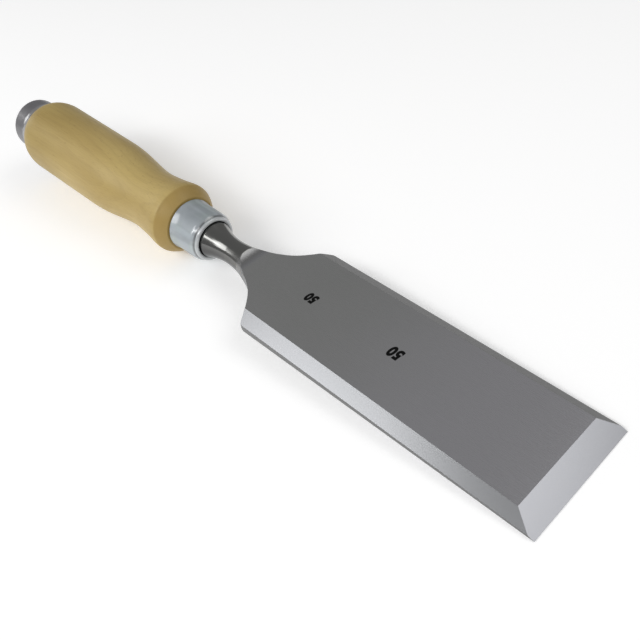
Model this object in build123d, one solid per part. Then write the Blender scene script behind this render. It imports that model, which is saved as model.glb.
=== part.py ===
"""Bench chisel, 50 mm: forged bevel-edge blade, hornbeam handle, steel ferrule, steel striking cap.

Everything is first modelled in the blade's own frame: the flat back is the plane Z = 0, the middle
of the cutting edge is the origin, +X points out of the cutting edge and the handle runs along -X.
"s" is the distance back from the cutting edge, so a point at s lies at X = -s. Turned shapes are
drawn as outlines of (s, radius) about the handle's axis, which rises a little towards the butt.
The whole tool is then laid down as it rests on a bench, on its cutting edge and the handle's collar,
with the origin on the bench under the middle of its length.
"""
import math
import os

from build123d import *

# ---- blade: the ground part ---------------------------------------------------------------------
BLADE_WIDTH = 50.0          # width across the cutting edge
BEVEL_ANGLE = 23.0          # cutting bevel, degrees from the flat back
EDGE_FLAT = 0.05            # thickness of the honed edge itself
THICK_TIP = 3.8             # thickness where the cutting bevel meets the top flat
THICK_SHOULDER = 6.1        # thickness at the shoulder
LAND_TIP = 1.1              # height of the upright side land behind the cutting bevel
LAND_SHOULDER = 2.95        # the same at the shoulder
SIDE_BEVEL_ANGLE = 31.5     # side bevels, degrees from the flat back
SHOULDER_S = 130.4          # the top flat's corners, where the shoulders end
FLAT_END_S = 143.2          # the flats run up the neck to here
RUN_OUT_RADIUS = 15.0       # grinding run-out at the end of the flats
SHOULDER_ARC = 27.0         # plan radius of the ground, upright shoulder edges
SHOULDER_ARC_S = 153.6      # centre of that arc: distance behind the cutting edge
SHOULDER_ARC_Y = 33.7       # and distance from the middle plane
CORNER_RADIUS = 1.5         # rounding of the outer shoulder corners, in plan
EDGE_BREAK = 0.15           # rounding of the blade's long edges
LONG_EDGE = 100.0           # edges longer than this are the long ones

# ---- blade: the forged neck, bolster and tang ---------------------------------------------------
AXIS_TILT = 0.88            # degrees between the handle's axis and the flat back
AXIS_HEIGHT = 1.36          # height of that axis over the cutting edge
NECK_RADIUS = 5.4
NECK_FRONT_S = 160.3        # the forging starts to spread here
NECK_REAR_S = 160.6         # the bolster starts to flare here
SPREAD_ARC = 37.0           # plan radius of the forged spread from neck to shoulders
BOLSTER_RADIUS = 7.85
BOLSTER_FLARE = 28.0        # radius of the bolster's concave flare
BOLSTER_RIM = 3.2           # thickness of the bolster's cylindrical rim
BOLSTER_ROUNDING = 0.3      # rounding of the rim's front edge
TANG_ROOT = 7.4             # side of the square tang at the bolster
TANG_TIP = 3.6              # side at its end
TANG_LENGTH = 78.0

# ---- ferrule ------------------------------------------------------------------------------------
FERRULE_FRONT_S = 172.9     # crest of the bead round the ferrule's mouth
FERRULE_SHOULDER_S = 176.6  # the front rounding starts here
FERRULE_FLARE_S = 185.5     # the rear flare starts here
FERRULE_REAR_S = 189.5
FERRULE_RADIUS = 10.85
FERRULE_REAR_RADIUS = 11.45
FERRULE_WALL = 1.15
FERRULE_ROUNDING = 3.4      # radius of the front rounding
FERRULE_FLARE = 17.0        # radius of the rear flare
MOUTH_RADIUS = 8.15         # hole round the bolster
BEAD_CREST_RADIUS = 8.93
BEAD_CREASE = (174.2, 9.82)  # distance and radius where the front rounding meets the bead
FLARE_START_SWELL = 0.08    # how much the ferrule has swollen where its rear flare starts
BEAD_LEAD = 0.9             # how far the mouth's edge lies in front of that crease
FERRULE_EDGE = 0.35         # rounding of the rear edge

# ---- handle -------------------------------------------------------------------------------------
COLLAR_EDGE = (195.1, 15.65)  # front edge of the flared collar
COLLAR_TANGENT = (-1, 0.15)   # direction in which the outline leaves that edge, towards the butt
COLLAR_NOSE_RADIUS = 12.2   # where the collar's face meets the ferrule
COLLAR_FACE_ARC = 16.0      # radius of the collar's bulging face
COLLAR_ROUNDING = 1.6       # rounding of the collar's front edge
GRIP = [                    # the grip's outline behind the collar, over the waist
    (197.0, 15.72),
    (200.5, 15.2),
    (208.0, 14.26),
    (215.5, 13.74),
    (223.0, 14.21),
    (231.0, 15.37),
    (238.5, 16.46),
]
BARREL_START = (249.0, 17.1)  # from here the barrel is a straight, slight taper
BARREL_END = (298.0, 17.57)   # the rear rounding starts here
HANDLE_REAR = (306.8, 13.4)   # and ends here, against the striking cap

# ---- striking cap -------------------------------------------------------------------------------
CAP_RIM_RADIUS = 14.6       # flared front rim
CAP_RIM_LENGTH = 6.2        # length of the flare
CAP_FLARE = 13.5            # radius of the flare
CAP_RIM_ROUNDING = 0.35     # rounding of the rim's edge
CAP_RADIUS = 13.1           # behind the flare
CAP_END_RADIUS = 12.75      # at the struck end, before the rounding
CAP_END_S = 321.6
CAP_CORNER = 1.6
CAP_WALL = 1.5
CAP_DOME = 0.7              # how far the struck face bulges

FIT_GAP = 0.04              # radial gap of the driven fits, wood in steel and tang in wood
SHOULDER_GAP = 0.25         # open joint line between a steel edge and a wooden shoulder

# ---- worked out from the above ------------------------------------------------------------------
HALF_WIDTH = BLADE_WIDTH / 2
BEVEL_LENGTH = (THICK_TIP - EDGE_FLAT) / math.tan(math.radians(BEVEL_ANGLE))
GROUND_LENGTH = SHOULDER_S - BEVEL_LENGTH
BOLSTER_FLARE_DEPTH = BOLSTER_RADIUS - NECK_RADIUS
BOLSTER_FLARE_LENGTH = math.sqrt(2 * BOLSTER_FLARE * BOLSTER_FLARE_DEPTH - BOLSTER_FLARE_DEPTH**2)
BOLSTER_S = NECK_REAR_S + BOLSTER_FLARE_LENGTH
BOLSTER_REAR_S = BOLSTER_S + BOLSTER_RIM
TANG_END_S = BOLSTER_REAR_S + TANG_LENGTH
FERRULE_BORE = FERRULE_RADIUS - FERRULE_WALL
CAP_BORE = CAP_END_RADIUS - CAP_WALL
CAP_FLOOR_S = CAP_END_S - CAP_WALL
REACH = 40.0                # half the height and width of the cutting bodies, larger than the tool
JOIN = 1.0                  # how far one body of the forging runs into the next
PITCH_STEPS = 400           # places tried along the grip to find where it touches the bench
AXIS_FRAME = Location((0, 0, AXIS_HEIGHT), (0, AXIS_TILT, 0))


def at(s, radius):
    """Point of a turned outline: s behind the cutting edge, radius from the handle's axis."""
    return (-s, radius)


def chain(*points):
    """Straight edges through the points, one after the other."""
    return [Line(start, end) for start, end in zip(points, points[1:])]


def turned(edges, *roundings):
    """Solid of revolution about the handle's axis. roundings are (corner, radius) on the outline."""
    outline = make_face(edges)
    for corner, radius in roundings:
        outline = fillet(outline.vertices().sort_by_distance(corner)[0], radius)
    return AXIS_FRAME * revolve(outline, Axis.X)


# ---- blade --------------------------------------------------------------------------------------
def top_height(s):
    """Height of the top flat over the flat back."""
    return THICK_TIP + (THICK_SHOULDER - THICK_TIP) * (s - BEVEL_LENGTH) / GROUND_LENGTH


def land_height(s):
    """Height of the upright side land."""
    return LAND_TIP + (LAND_SHOULDER - LAND_TIP) * (s - BEVEL_LENGTH) / GROUND_LENGTH


def forged_blank():
    """The forging before grinding: a thick slab whose edges are round bars, bent into shoulders."""
    bend = SPREAD_ARC + NECK_RADIUS
    spread = math.acos(1 - (HALF_WIDTH + NECK_RADIUS) / bend)
    start = (-NECK_FRONT_S, 0)
    end = (-NECK_FRONT_S + bend * math.sin(spread), HALF_WIDTH + NECK_RADIUS)
    centre_line = RadiusArc(start, end, -bend)
    tip = NECK_RADIUS
    outline = [centre_line] + chain(end, (tip, end[1]), (tip, 0), start)
    half = extrude(make_face(outline), NECK_RADIUS, both=True)
    half += sweep(Plane.YZ.offset(-NECK_FRONT_S) * Circle(NECK_RADIUS), path=centre_line)
    return AXIS_FRAME * (half + mirror(half, Plane.XZ))


def neck_and_bolster():
    """The round neck, and the bolster that flares out behind it."""
    front_s = NECK_FRONT_S - JOIN
    neck_end = at(NECK_REAR_S, NECK_RADIUS)
    rim = at(BOLSTER_S, BOLSTER_RADIUS)
    outline = chain(at(front_s, 0), at(front_s, NECK_RADIUS), neck_end)
    outline.append(RadiusArc(neck_end, rim, BOLSTER_FLARE))
    outline += chain(rim, at(BOLSTER_REAR_S, BOLSTER_RADIUS), at(BOLSTER_REAR_S, 0), at(front_s, 0))
    return turned(outline, (rim, BOLSTER_ROUNDING))


def tang(extra=0.0):
    """Tapered square tang. The hole that it is driven into is the same shape, wider by extra."""
    root = Rectangle(TANG_ROOT + 2 * extra, TANG_ROOT + 2 * extra)
    end = Rectangle(TANG_TIP + 2 * extra, TANG_TIP + 2 * extra)
    root_plane = Plane.YZ.offset(-(BOLSTER_REAR_S - JOIN))
    end_plane = Plane.YZ.offset(-(TANG_END_S + extra))
    return AXIS_FRAME * loft([root_plane * root, end_plane * end])


def grinding_side_view():
    """What the grinding leaves, seen from the side: flat back, top flat, cutting bevel, run-outs."""
    top_end = (-FLAT_END_S, top_height(FLAT_END_S))
    back_end = (-FLAT_END_S, 0)
    wall = -FLAT_END_S - RUN_OUT_RADIUS
    top_wall = (wall, top_end[1] + RUN_OUT_RADIUS)
    back_wall = (wall, -RUN_OUT_RADIUS)
    far = -TANG_END_S - JOIN
    outline = chain(back_end, (0, 0), (0, EDGE_FLAT), (-BEVEL_LENGTH, THICK_TIP), top_end)
    outline.append(RadiusArc(top_end, top_wall, RUN_OUT_RADIUS))
    outline += chain(top_wall, (wall, REACH), (far, REACH), (far, -REACH), (wall, -REACH), back_wall)
    outline.append(RadiusArc(back_wall, back_end, RUN_OUT_RADIUS))
    return extrude(Plane.XZ * make_face(outline), REACH, both=True)


def grinding_plan():
    """What the grinding leaves, seen from above: straight sides, round corners, hollow shoulders."""
    arc_reach = math.sqrt(SHOULDER_ARC**2 - (SHOULDER_ARC_Y - HALF_WIDTH) ** 2)
    corner = (-SHOULDER_ARC_S + arc_reach, HALF_WIDTH)
    arc_end = (-SHOULDER_ARC_S, SHOULDER_ARC_Y - SHOULDER_ARC)
    far = -TANG_END_S
    outline = chain(arc_end, (far, arc_end[1]), (far, 0), (0, 0), (0, HALF_WIDTH), corner)
    outline.append(RadiusArc(corner, arc_end, SHOULDER_ARC))
    half = make_face(outline)
    half = fillet(half.vertices().sort_by_distance(corner)[0], CORNER_RADIUS)
    return extrude(half + mirror(half, Plane.XZ), REACH, both=True)


def side_bevel(side):
    """Block above one side bevel; side is 1 or -1."""
    slope = math.radians(SIDE_BEVEL_ANGLE)
    front = Vector(-BEVEL_LENGTH, side * HALF_WIDTH, LAND_TIP)
    rear = Vector(-SHOULDER_S, side * HALF_WIDTH, LAND_SHOULDER)
    uphill = Vector(0, -side * math.cos(slope), math.sin(slope))
    normal = (rear - front).cross(uphill) * side
    bevel = Plane(origin=front, x_dir=rear - front, z_dir=normal)
    return extrude(bevel * Rectangle(2 * TANG_END_S, 2 * REACH), REACH)


def make_blade():
    """Forging, ground to shape."""
    blade = forged_blank() & grinding_plan() & grinding_side_view()
    blade = blade - side_bevel(1) - side_bevel(-1)
    long_edges = blade.edges().filter_by(lambda edge: edge.length > LONG_EDGE)
    blade = fillet(long_edges, EDGE_BREAK)
    return blade + neck_and_bolster() + tang()


# ---- ferrule ------------------------------------------------------------------------------------
def make_ferrule():
    """Drawn steel cup: rounded front with a beaded mouth round the bolster, flared rear edge."""
    shoulder = at(FERRULE_SHOULDER_S, FERRULE_RADIUS)
    crease = at(*BEAD_CREASE)
    crest = at(FERRULE_FRONT_S, BEAD_CREST_RADIUS)
    mouth = at(BEAD_CREASE[0] - BEAD_LEAD, MOUTH_RADIUS)
    flare = at(FERRULE_FLARE_S, FERRULE_RADIUS + FLARE_START_SWELL)
    rear = at(FERRULE_REAR_S, FERRULE_REAR_RADIUS)
    outline = [
        RadiusArc(shoulder, crease, FERRULE_ROUNDING),
        ThreePointArc(crease, crest, mouth),
        Line(shoulder, flare),
        RadiusArc(flare, rear, FERRULE_FLARE),
    ]
    outline += chain(
        mouth,
        at(BOLSTER_REAR_S, MOUTH_RADIUS),
        at(BOLSTER_REAR_S, FERRULE_BORE),
        at(FERRULE_REAR_S, FERRULE_BORE),
        rear,
    )
    return turned(outline, (rear, FERRULE_EDGE))


# ---- handle -------------------------------------------------------------------------------------
def grip_curve():
    """The grip's outline from the collar's edge over the waist to the start of the barrel."""
    points = [at(*point) for point in [COLLAR_EDGE, *GRIP, BARREL_START]]
    barrel = Vector(at(*BARREL_END)) - Vector(at(*BARREL_START))
    return Spline(points, tangents=[COLLAR_TANGENT, barrel], tangent_scalars=[1, 1])


def make_handle():
    """Turned handle: tenon for the ferrule, flared collar, waist, barrel, tenon for the cap."""
    tenon = FERRULE_BORE - FIT_GAP
    cap_tenon = CAP_BORE - FIT_GAP
    shoulder_s = FERRULE_REAR_S + SHOULDER_GAP
    nose = at(shoulder_s, COLLAR_NOSE_RADIUS)
    collar = at(*COLLAR_EDGE)
    outline = chain(
        at(BOLSTER_REAR_S, 0), at(BOLSTER_REAR_S, tenon), at(shoulder_s, tenon), nose
    )
    outline.append(RadiusArc(nose, collar, -COLLAR_FACE_ARC))
    outline.append(grip_curve())
    outline += chain(at(*BARREL_START), at(*BARREL_END))
    rounding_length = HANDLE_REAR[0] - BARREL_END[0]
    rounding_depth = BARREL_END[1] - HANDLE_REAR[1]
    outline.append(
        EllipticalCenterArc(
            at(BARREL_END[0], HANDLE_REAR[1]), rounding_length, rounding_depth, 90, arc_size=90
        )
    )
    outline += chain(
        at(*HANDLE_REAR),
        at(HANDLE_REAR[0], cap_tenon),
        at(CAP_FLOOR_S - FIT_GAP, cap_tenon),
        at(CAP_FLOOR_S - FIT_GAP, 0),
        at(BOLSTER_REAR_S, 0),
    )
    body = turned(outline)
    collar_edge = body.edges().sort_by_distance((AXIS_FRAME * Pos(*collar)).position)[0]
    return fillet(collar_edge, COLLAR_ROUNDING) - tang(FIT_GAP)


# ---- striking cap -------------------------------------------------------------------------------
def make_striking_cap():
    """Drawn steel cup on the butt: flared rim, slightly domed struck face."""
    rim_s = HANDLE_REAR[0] + SHOULDER_GAP
    rim = at(rim_s, CAP_RIM_RADIUS)
    flare_end = at(rim_s + CAP_RIM_LENGTH, CAP_RADIUS)
    side_end = at(CAP_END_S - CAP_CORNER, CAP_END_RADIUS)
    face_edge = at(CAP_END_S, CAP_END_RADIUS - CAP_CORNER)
    pole = at(CAP_END_S + CAP_DOME, 0)
    dome_radius = (face_edge[1] ** 2 + CAP_DOME**2) / (2 * CAP_DOME)
    outline = [
        RadiusArc(rim, flare_end, CAP_FLARE),
        Line(flare_end, side_end),
        RadiusArc(side_end, face_edge, -CAP_CORNER),
        RadiusArc(face_edge, pole, -dome_radius),
    ]
    outline += chain(
        pole,
        at(CAP_FLOOR_S, 0),
        at(CAP_FLOOR_S, CAP_BORE),
        at(rim_s, CAP_BORE),
        rim,
    )
    return turned(outline, (rim, CAP_RIM_ROUNDING))


# ---- the tool as it rests -----------------------------------------------------------------------
def rest_pitch():
    """Degrees by which the tool tips forward when its edge and the handle's collar touch the bench."""
    grip = grip_curve()
    steepest = 0.0
    for step in range(PITCH_STEPS + 1):
        point = grip.position_at(step / PITCH_STEPS)
        below = (AXIS_FRAME * Pos(point.X, 0, -point.Y)).position
        steepest = max(steepest, math.atan2(-below.Z, -below.X))
    return math.degrees(steepest)


def main():
    parts = {
        "blade": make_blade(),
        "ferrule": make_ferrule(),
        "handle": make_handle(),
        "striking_cap": make_striking_cap(),
    }
    lay_down = Rot(0, rest_pitch(), 0)
    laid = {name: lay_down * part for name, part in parts.items()}
    box = Compound(children=[part.solid() for part in laid.values()]).bounding_box()
    centre = Pos(-box.center().X, 0, -box.min.Z)
    os.makedirs("parts", exist_ok=True)
    for name, part in laid.items():
        export_step(centre * part, f"parts/{name}.step")


main()
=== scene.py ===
"""Looks of the 50 mm bench chisel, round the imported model.

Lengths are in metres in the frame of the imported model, where the tool lies on the bench along X.
Patterns are laid out in the tool's own frame, in millimetres: X runs out of the cutting edge, whose
middle is the origin, Z stands on the blade's flat back, and "s" is the distance behind the edge.
"""
import math

import bpy
from mathutils import Matrix, Vector


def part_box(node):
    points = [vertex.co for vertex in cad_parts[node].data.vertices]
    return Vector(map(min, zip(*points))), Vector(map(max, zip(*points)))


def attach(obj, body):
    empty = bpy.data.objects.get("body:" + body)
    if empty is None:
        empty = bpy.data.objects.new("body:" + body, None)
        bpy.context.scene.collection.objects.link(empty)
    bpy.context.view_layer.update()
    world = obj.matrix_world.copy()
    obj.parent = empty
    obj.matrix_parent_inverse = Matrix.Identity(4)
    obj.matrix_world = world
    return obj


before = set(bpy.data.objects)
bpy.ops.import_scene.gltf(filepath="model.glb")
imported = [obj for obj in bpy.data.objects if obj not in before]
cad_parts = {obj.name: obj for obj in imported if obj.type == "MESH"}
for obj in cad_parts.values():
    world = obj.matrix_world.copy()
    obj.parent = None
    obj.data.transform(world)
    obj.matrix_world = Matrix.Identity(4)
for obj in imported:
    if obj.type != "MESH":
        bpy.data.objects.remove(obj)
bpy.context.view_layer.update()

MM = 0.001
PITCH = math.radians(3.315)        # the tool's tip-forward lean as it rests on the bench
EDGE_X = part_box("blade")[1][0]     # the cutting edge

# ---- places along the tool, in mm behind the cutting edge ---------------------------------------
BEVEL_LENGTH = 8.83
TIP_TINT = (115.0, 35.0)           # the ground flat turns lighter from the first to the second
RUN_OUT_END = 151.8                # the grinding ends on the forged neck
CREASE = 174.2                     # behind the bead of the ferrule's mouth
TENON_END = 178.0                  # front end of the handle, inside the ferrule
FLARE = 185.5                      # the ferrule's rear flare starts
COLLAR_EDGE = 195.1
REAR_SHADE = (255.0, 292.0)        # the wood turns darker from the first to the second
CAP_FLARE_END = 313.2

# ---- heights and slopes -------------------------------------------------------------------------
BEVEL_TOP = 3.8                    # blade's thickness at the top of the cutting bevel, mm
TOP_RISE = 2.3 / 121.57            # slope of the top flat against the flat back
AXIS_TILT = math.radians(0.88)     # the handle's axis against the flat back
AXIS_HEIGHT = 1.36                 # of the handle's axis above the cutting edge, mm

# ---- parts of the outward normal that tell the ground faces apart -------------------------------
EDGE_FACING = (0.2, 0.35)          # X: the cutting bevel
SIDE_FACING = (0.2, 0.45)          # size of Y: the side bevels and lands
LAND_FACING = (0.93, 0.985)        # size of Y: the upright lands alone

# ---- the wood's growth rings, in mm -------------------------------------------------------------
PITH = (-31.0, 24.0)               # Y and Z of the tree's middle from the handle's axis
RING_WANDER = 16.0
RINGS_PER_MM = 0.27


def to_world():
    """Matrix from the tool's frame, in mm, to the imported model's frame, in metres."""
    lean = Matrix.Rotation(PITCH, 4, "Y")
    return Matrix.Translation((EDGE_X, 0, 0)) @ lean @ Matrix.Scale(MM, 4)


# ---- shader trees -------------------------------------------------------------------------------
class Tree:
    """A material's nodes, with short calls for the ones used here."""

    def __init__(self, name):
        self.material = bpy.data.materials.new(name)
        self.material.use_nodes = True
        self.nodes = self.material.node_tree.nodes
        self.links = self.material.node_tree.links
        self.nodes.clear()

    def put(self, socket, value):
        """Links a socket to another, or sets its number, vector or colour."""
        if isinstance(value, bpy.types.NodeSocket):
            self.links.new(value, socket)
        else:
            socket.default_value = value

    def node(self, kind, inputs=(), **settings):
        """New node. inputs is a dict by name or number."""
        made = self.nodes.new("ShaderNode" + kind)
        for name, value in settings.items():
            setattr(made, name, value)
        for key, value in dict(inputs).items():
            self.put(made.inputs[key], value)
        return made

    def math(self, operation, a, b=0.0, c=0.0):
        return self.node("Math", {0: a, 1: b, 2: c}, operation=operation).outputs[0]

    def ramp(self, value, low, high, to_low=0.0, to_high=1.0, smooth=True):
        """value rescaled from low..high to to_low..to_high, and held there beyond."""
        kind = "SMOOTHSTEP" if smooth else "LINEAR"
        inputs = {
            "Value": value, "From Min": low, "From Max": high, "To Min": to_low, "To Max": to_high
        }
        return self.node("MapRange", inputs, interpolation_type=kind).outputs[0]

    def mix(self, factor, a, b, blend="MIX"):
        """Colour mix."""
        made = self.node("Mix", data_type="RGBA", blend_type=blend, clamp_factor=True)
        self.put(made.inputs["Factor"], factor)
        self.put(made.inputs[6], a)
        self.put(made.inputs[7], b)
        return made.outputs[2]

    def shade(self, colour, factor):
        """Colour made darker or lighter by a number."""
        even = self.node("CombineColor", {0: factor, 1: factor, 2: factor}).outputs[0]
        return self.mix(1.0, colour, even, "MULTIPLY")

    def tool_place(self):
        """Position in the tool's frame, in mm."""
        place = self.node("TexCoord").outputs["Object"]
        turn = self.node("Mapping", {"Vector": place}, vector_type="TEXTURE")
        turn.inputs["Location"].default_value = (EDGE_X, 0, 0)
        turn.inputs["Rotation"].default_value = (0, PITCH, 0)
        turn.inputs["Scale"].default_value = (MM, MM, MM)
        return turn.outputs[0]

    def handle_place(self):
        """Position about the handle's axis, in mm."""
        place = self.tool_place()
        inputs = {"Vector": place, "Location": (0, 0, AXIS_HEIGHT), "Rotation": (0, AXIS_TILT, 0)}
        return self.node("Mapping", inputs, vector_type="TEXTURE").outputs[0]

    def along(self, place):
        """Distance behind the cutting edge, in mm."""
        return self.math("MULTIPLY", self.node("SeparateXYZ", {0: place}).outputs[0], -1.0)

    def noise(self, place, stretch, detail=2.0, rough=0.5):
        """Noise with that many cells per mm along each axis."""
        moved = self.node("VectorMath", {0: place, 1: stretch}, operation="MULTIPLY").outputs[0]
        inputs = {"Vector": moved, "Scale": 1.0, "Detail": detail, "Roughness": rough}
        return self.node("TexNoise", inputs).outputs["Fac"]

    def bump(self, height, strength, distance):
        inputs = {"Strength": strength, "Distance": distance, "Height": height}
        return self.node("Bump", inputs).outputs[0]

    def finish(self, **inputs):
        """Principled shader with these sockets set, and the finished material."""
        shader = self.node("BsdfPrincipled")
        for name, value in inputs.items():
            self.put(shader.inputs[name.replace("_", " ")], value)
        out = self.node("OutputMaterial")
        self.links.new(shader.outputs[0], out.inputs[0])
        return self.material


def grey(value, tint=(1.0, 1.0, 1.0)):
    return (value * tint[0], value * tint[1], value * tint[2], 1.0)


def ground_steel():
    """Ground blade: lengthwise grinding lines, a tone for each ground face, a dark forged neck;
    painted shade on the far side bevel, the run-out and the neck's underside.
    """
    t = Tree("ground_steel")
    place = t.tool_place()
    s = t.along(place)
    lines = t.noise(place, (0.03, 14.0, 14.0), detail=3.0, rough=0.6)
    scratches = t.noise(place, (0.09, 30.0, 30.0), detail=1.0)
    clouds = t.noise(place, (0.035, 0.05, 0.05))
    neck = t.ramp(s, RUN_OUT_END - 0.9, RUN_OUT_END + 0.5)
    run_out_painted_shade = t.ramp(s, RUN_OUT_END - 5.5, RUN_OUT_END - 2.5)
    normal = t.node("SeparateXYZ", {0: t.node("NewGeometry").outputs["Normal"]})
    sideways = t.math("ABSOLUTE", normal.outputs[1])
    far_side_painted_shade = t.ramp(normal.outputs[1], -0.2, 0.2)

    top = t.mix(clouds, grey(0.40, (0.985, 1.0, 0.985)), grey(0.44))
    top = t.mix(t.ramp(s, *TIP_TINT), top, grey(0.50, (1.0, 0.99, 1.04)))
    top = t.shade(top, t.ramp(lines, 0.3, 0.7, 0.97, 1.03, smooth=False))
    near_bevel = t.mix(clouds, grey(0.222, (0.98, 1.0, 1.03)), grey(0.236, (0.98, 0.99, 1.03)))
    # painted shade: the far side bevel gets a darker grey than the near one, though both are ground
    # alike
    side_bevels_far_painted_shade = t.mix(far_side_painted_shade, near_bevel, grey(0.145))
    # forged neck tone, with painted shade: darker where the neck faces down
    forged_with_underside_shade = t.mix(t.ramp(normal.outputs[2], -0.1, 0.6), grey(0.105), grey(0.21, (1.0, 1.0, 0.965)))
    colour = t.mix(t.ramp(normal.outputs[0], *EDGE_FACING), top, grey(0.385, (0.99, 1.0, 1.055)))
    colour = t.mix(t.ramp(sideways, *SIDE_FACING), colour, side_bevels_far_painted_shade)
    colour = t.mix(t.ramp(sideways, *LAND_FACING), colour, grey(0.20))
    # painted shade: the steep end of the grinding's run-out is given a darker grey
    colour = t.mix(run_out_painted_shade, colour, grey(0.285))
    colour = t.mix(neck, colour, forged_with_underside_shade)

    level = t.ramp(sideways, *SIDE_FACING, 1.0, 0.0)
    marks = t.math(
        "ADD", t.ramp(lines, 0.3, 0.7, -0.02, 0.02), t.ramp(scratches, 0.4, 0.7, -0.01, 0.01)
    )
    rough = t.math("MULTIPLY_ADD", marks, level, t.math("MULTIPLY_ADD", neck, -0.1, 0.29))
    bump = t.bump(lines, t.math("MULTIPLY", level, 0.02), 0.00002)
    grain = t.node("CombineXYZ", {0: neck, 1: t.math("SUBTRACT", 1.0, neck)}).outputs[0]
    return t.finish(
        Base_Color=colour, Metallic=1.0, Roughness=rough, Normal=bump, Anisotropic=0.6, Tangent=grain
    )


def plated_steel():
    """Zinc plating of the ferrule: bluish, satin, with a painted highlight on the bead and painted
    shade in the crease.
    """
    t = Tree("plated_steel")
    place = t.handle_place()
    s = t.along(place)
    clouds = t.noise(place, (0.25, 0.25, 0.25), detail=3.0)
    grains = t.noise(place, (6.0, 6.0, 6.0))
    hue = t.noise(place, (0.12, 0.12, 0.12), detail=1.0)
    bands = t.noise(place, (0.015, 0.26, 0.26), detail=1.0)
    into_crease = t.ramp(s, CREASE - 0.3, CREASE)
    out_of_crease = t.ramp(s, CREASE + 0.2, CREASE + 0.9, 1.0, 0.0)
    crease_painted_shade = t.math("MULTIPLY", into_crease, out_of_crease)
    bead_painted_highlight = t.ramp(s, CREASE - 0.7, CREASE - 0.3, 0.5, 0.0)
    front_rounding = t.ramp(s, CREASE + 1.3, CREASE + 2.6, 1.0, 0.0)
    rear_flare = t.ramp(s, FLARE - 0.5, FLARE + 1.5, 0.0, 0.45)

    colour = t.mix(clouds, grey(0.34, (0.90, 1.0, 1.06)), grey(0.41, (0.91, 1.0, 1.09)))
    colour = t.mix(t.ramp(hue, 0.4, 0.7, 0.0, 0.5), colour, (0.32, 0.385, 0.37, 1.0))
    colour = t.shade(colour, t.ramp(bands, 0.38, 0.62, 0.84, 1.12))
    # painted shade: a dark ring in the crease behind the bead
    colour = t.mix(t.math("MULTIPLY", crease_painted_shade, 0.75), colour, grey(0.05))
    # painted highlight: the bead is given a lighter grey
    colour = t.mix(bead_painted_highlight, colour, grey(0.62))
    coat = t.math("MULTIPLY_ADD", t.math("ADD", front_rounding, rear_flare), 0.9, 0.1)
    return t.finish(
        Base_Color=colour, Metallic=0.12, Roughness=t.ramp(grains, 0.3, 0.7, 0.40, 0.50),
        Normal=t.bump(grains, 0.1, 0.00002),
        Coat_Weight=coat, Coat_Roughness=0.14, Coat_IOR=2.0,
    )


def cap_steel():
    """Darker, tumbled steel of the striking cap, brighter on its flare."""
    t = Tree("cap_steel")
    place = t.handle_place()
    clouds = t.noise(place, (0.3, 0.3, 0.3), detail=3.0)
    grains = t.noise(place, (5.0, 5.0, 5.0), detail=3.0)
    colour = t.mix(clouds, grey(0.11, (1.0, 0.98, 1.06)), grey(0.155, (1.0, 0.99, 1.05)))
    coat = t.ramp(t.along(place), CAP_FLARE_END - 1.5, CAP_FLARE_END + 0.3, 0.8, 0.15)
    return t.finish(
        Base_Color=colour, Metallic=0.3, Roughness=t.ramp(grains, 0.3, 0.7, 0.32, 0.48),
        Normal=t.bump(grains, 0.15, 0.00003),
        Coat_Weight=coat, Coat_Roughness=0.12, Coat_IOR=2.0,
    )


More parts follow.
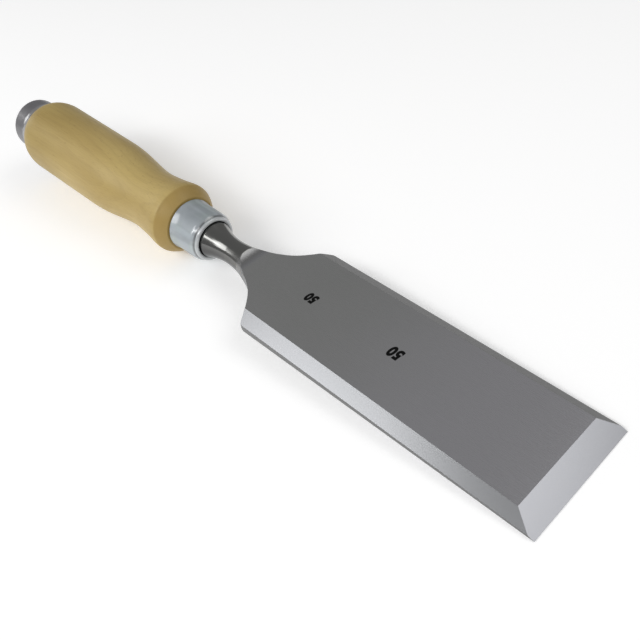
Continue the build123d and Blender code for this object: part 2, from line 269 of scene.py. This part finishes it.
def lacquered_wood():
    """Pale hornbeam under clear lacquer: growth rings round an off-centre pith, fibres and flecks."""
    t = Tree("lacquered_wood")
    place = t.handle_place()
    s = t.along(place)
    axes = t.node("SeparateXYZ", {0: place})
    across = t.math("SUBTRACT", axes.outputs[1], PITH[0])
    above = t.math("SUBTRACT", axes.outputs[2], PITH[1])
    squares = t.math("ADD", t.math("MULTIPLY", across, across), t.math("MULTIPLY", above, above))
    bend = t.noise(place, (0.012, 0.05, 0.05), detail=1.0)
    wander = t.math("MULTIPLY", t.math("SUBTRACT", bend, 0.5), RING_WANDER)
    radius = t.math("ADD", t.math("SQRT", squares), wander)
    rings = t.math("FRACT", t.math("MULTIPLY", radius, RINGS_PER_MM))
    late_wood = t.math("MULTIPLY", t.ramp(rings, 0.45, 0.98), t.ramp(rings, 1.0, 0.985))
    fibres = t.noise(place, (0.05, 2.6, 2.6), detail=4.0, rough=0.6)
    pores = t.noise(place, (0.25, 7.0, 7.0))
    patches = t.noise(place, (0.02, 0.07, 0.07))
    flecks = t.ramp(t.noise(place, (0.3, 1.4, 5.0), detail=1.0), 0.66, 0.74)
    front_face_painted_shade = t.ramp(s, COLLAR_EDGE + 0.3, COLLAR_EDGE - 0.9)
    tenon_painted_shadow = t.ramp(s, TENON_END, TENON_END - 1.0)

    pale = (0.505, 0.378, 0.142, 1.0)
    tan = (0.425, 0.307, 0.106, 1.0)
    colour = t.mix(t.ramp(patches, 0.3, 0.7), pale, tan)
    colour = t.mix(t.math("MULTIPLY", late_wood, 0.13), colour, (0.28, 0.19, 0.065, 1.0))
    colour = t.mix(t.ramp(fibres, 0.45, 0.75, 0.0, 0.22), colour, (0.25, 0.17, 0.07, 1.0))
    colour = t.mix(t.math("MULTIPLY", flecks, 0.3), colour, (0.20, 0.13, 0.05, 1.0))
    # painted shade: the collar's front face is made darker
    colour = t.mix(t.math("MULTIPLY", front_face_painted_shade, 0.75), colour, (0.34, 0.225, 0.064, 1.0))
    colour = t.mix(t.ramp(s, *REAR_SHADE), colour, (0.86, 0.85, 0.78, 1.0), "MULTIPLY")
    # painted shadow: the handle's front end inside the ferrule is made almost black
    colour = t.mix(tenon_painted_shadow, colour, grey(0.004))
    height = t.math("ADD", t.math("MULTIPLY", fibres, 0.6), t.math("MULTIPLY", pores, 0.4))
    return t.finish(
        Base_Color=colour, Roughness=t.ramp(fibres, 0.3, 0.7, 0.42, 0.55),
        Normal=t.bump(height, 0.15, 0.00005),
        Specular_IOR_Level=0.3, Coat_Weight=0.08, Coat_Roughness=0.3,
    )


def ink():
    """Black printing ink."""
    t = Tree("ink")
    grains = t.noise(t.tool_place(), (4.0, 4.0, 4.0))
    return t.finish(
        Base_Color=t.mix(grains, grey(0.001), grey(0.004)),
        Roughness=t.ramp(grains, 0.3, 0.7, 0.5, 0.65), Specular_IOR_Level=0.1,
    )


# ---- the printed width marks --------------------------------------------------------------------
MARK_WIDTH = 0.77                  # narrowing of the letters
MARK_LIFT = 0.012                  # half the ink's thickness, mm
MARK_SLANT = 0.1
MARK_WEIGHT = 0.38                 # thickening of the strokes, mm
MARK_SPACING = 1.12
DIGIT_HEIGHT = 0.72                # of a digit against the size of the type
MARKS = {                          # middle behind the edge, middle across, height of a digit, in mm
    "mark_rear": (114.5, 0.2, 4.1),
    "mark_front": (73.0, 0.2, 4.6),
}


def add_mark(name, middle_s, y, height, material):
    """A printed 50 on the top flat, read from the near side with its head towards the far side."""
    text = bpy.data.curves.new(name, "FONT")
    text.body = "50"
    text.size = height / DIGIT_HEIGHT
    text.align_x = "CENTER"
    text.align_y = "CENTER"
    text.shear = MARK_SLANT
    text.offset = MARK_WEIGHT
    text.space_character = MARK_SPACING
    text.extrude = MARK_LIFT
    text.resolution_u = 6
    made = bpy.data.objects.new(name, text)
    bpy.context.scene.collection.objects.link(made)
    flat = BEVEL_TOP + TOP_RISE * (middle_s - BEVEL_LENGTH)
    slope = Matrix.Rotation(math.atan(TOP_RISE), 4, "Y")
    face = Matrix.Translation((-middle_s, y, flat)) @ slope @ Matrix.Rotation(math.pi, 4, "Z")
    face = face @ Matrix.Diagonal((MARK_WIDTH, 1, 1, 1))
    bpy.context.view_layer.update()
    mesh = bpy.data.meshes.new_from_object(made)
    mesh.transform(to_world() @ face)
    bpy.data.objects.remove(made)
    mark = bpy.data.objects.new(name, mesh)
    bpy.context.scene.collection.objects.link(mark)
    mark.data.materials.clear()
    mark.data.materials.append(material)
    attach(mark, "root")


# ---- stage --------------------------------------------------------------------------------------
FLOOR_HALF = 6.0
FLOOR_DROP = 0.0002                # keeps the floor clear of the tool's lowest faces
FLOOR_GLOW = 0.22
WORLD_GREY = 0.33
AIM = Vector((0.0, 0.0, 0.01))     # what the lights face
LIGHTS = {                         # direction from AIM, distance, width and height, radiance
    "left_box": ((-0.447, -0.658, 0.606), 1.4, (0.6, 0.85), 3.8),
    "near_strip": ((0.05, -0.75, 0.66), 1.3, (1.2, 0.26), 3.8),
    "key": ((0.55, -0.55, 0.63), 1.3, (0.6, 0.5), 2.05),
    "front_right": ((0.47, 0.44, 0.77), 1.0, (0.7, 0.5), 1.6),
    "butt_box": ((-0.945, -0.18, 0.24), 1.3, (0.34, 0.32), 2.9),
}
LENS = 41.89                       # mm
SENSOR = 36.0                      # mm
CAMERA_PLACE = (0.21566, -0.12493, 0.19507)
CAMERA_TURN = (46.6946, 8.0955, 45.5330)    # degrees


def add_floor():
    mesh = bpy.data.meshes.new("floor")
    half = FLOOR_HALF
    corners = [(-half, -half, 0), (half, -half, 0), (half, half, 0), (-half, half, 0)]
    mesh.from_pydata(corners, [], [(0, 1, 2, 3)])
    floor = bpy.data.objects.new("floor", mesh)
    bpy.context.scene.collection.objects.link(floor)
    floor.location.z = -FLOOR_DROP
    t = Tree("floor_paper")
    fibres = t.noise(t.node("TexCoord").outputs["Object"], (900.0, 900.0, 900.0))
    mesh.materials.append(
        t.finish(
            Base_Color=t.mix(fibres, grey(0.93), grey(0.95)), Roughness=1.0, Specular_IOR_Level=0.0,
            Emission_Color=grey(1.0), Emission_Strength=FLOOR_GLOW,
        )
    )


def add_light(name, direction, distance, size, radiance):
    """Rectangular softbox in that direction from AIM, facing it."""
    data = bpy.data.lights.new(name, "AREA")
    data.shape = "RECTANGLE"
    data.size, data.size_y = size
    data.energy = radiance * math.pi * size[0] * size[1]
    light = bpy.data.objects.new(name, data)
    bpy.context.scene.collection.objects.link(light)
    away = Vector(direction).normalized()
    light.location = AIM + away * distance
    light.rotation_euler = away.to_track_quat("Z", "Y").to_euler()


def add_camera():
    data = bpy.data.cameras.new("camera")
    data.lens = LENS
    data.sensor_width = SENSOR
    data.clip_start = 0.01
    camera = bpy.data.objects.new("camera", data)
    camera.location = CAMERA_PLACE
    camera.rotation_euler = [math.radians(angle) for angle in CAMERA_TURN]
    bpy.context.scene.collection.objects.link(camera)
    bpy.context.scene.camera = camera


def set_world():
    world = bpy.data.worlds.new("studio")
    world.use_nodes = True
    world.node_tree.nodes["Background"].inputs[0].default_value = grey(WORLD_GREY)
    bpy.context.scene.world = world


# ---- put together -------------------------------------------------------------------------------
FINISHES = {
    "blade": ground_steel(),
    "ferrule": plated_steel(),
    "handle": lacquered_wood(),
    "striking_cap": cap_steel(),
}
for name, material in FINISHES.items():
    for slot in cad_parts[name].material_slots:
        slot.material = material

black = ink()
for name, (middle_s, y, height) in MARKS.items():
    add_mark(name, middle_s, y, height, black)

add_floor()
for name, settings in LIGHTS.items():
    add_light(name, *settings)
set_world()
add_camera()
bpy.context.scene.view_settings.view_transform = "Standard"
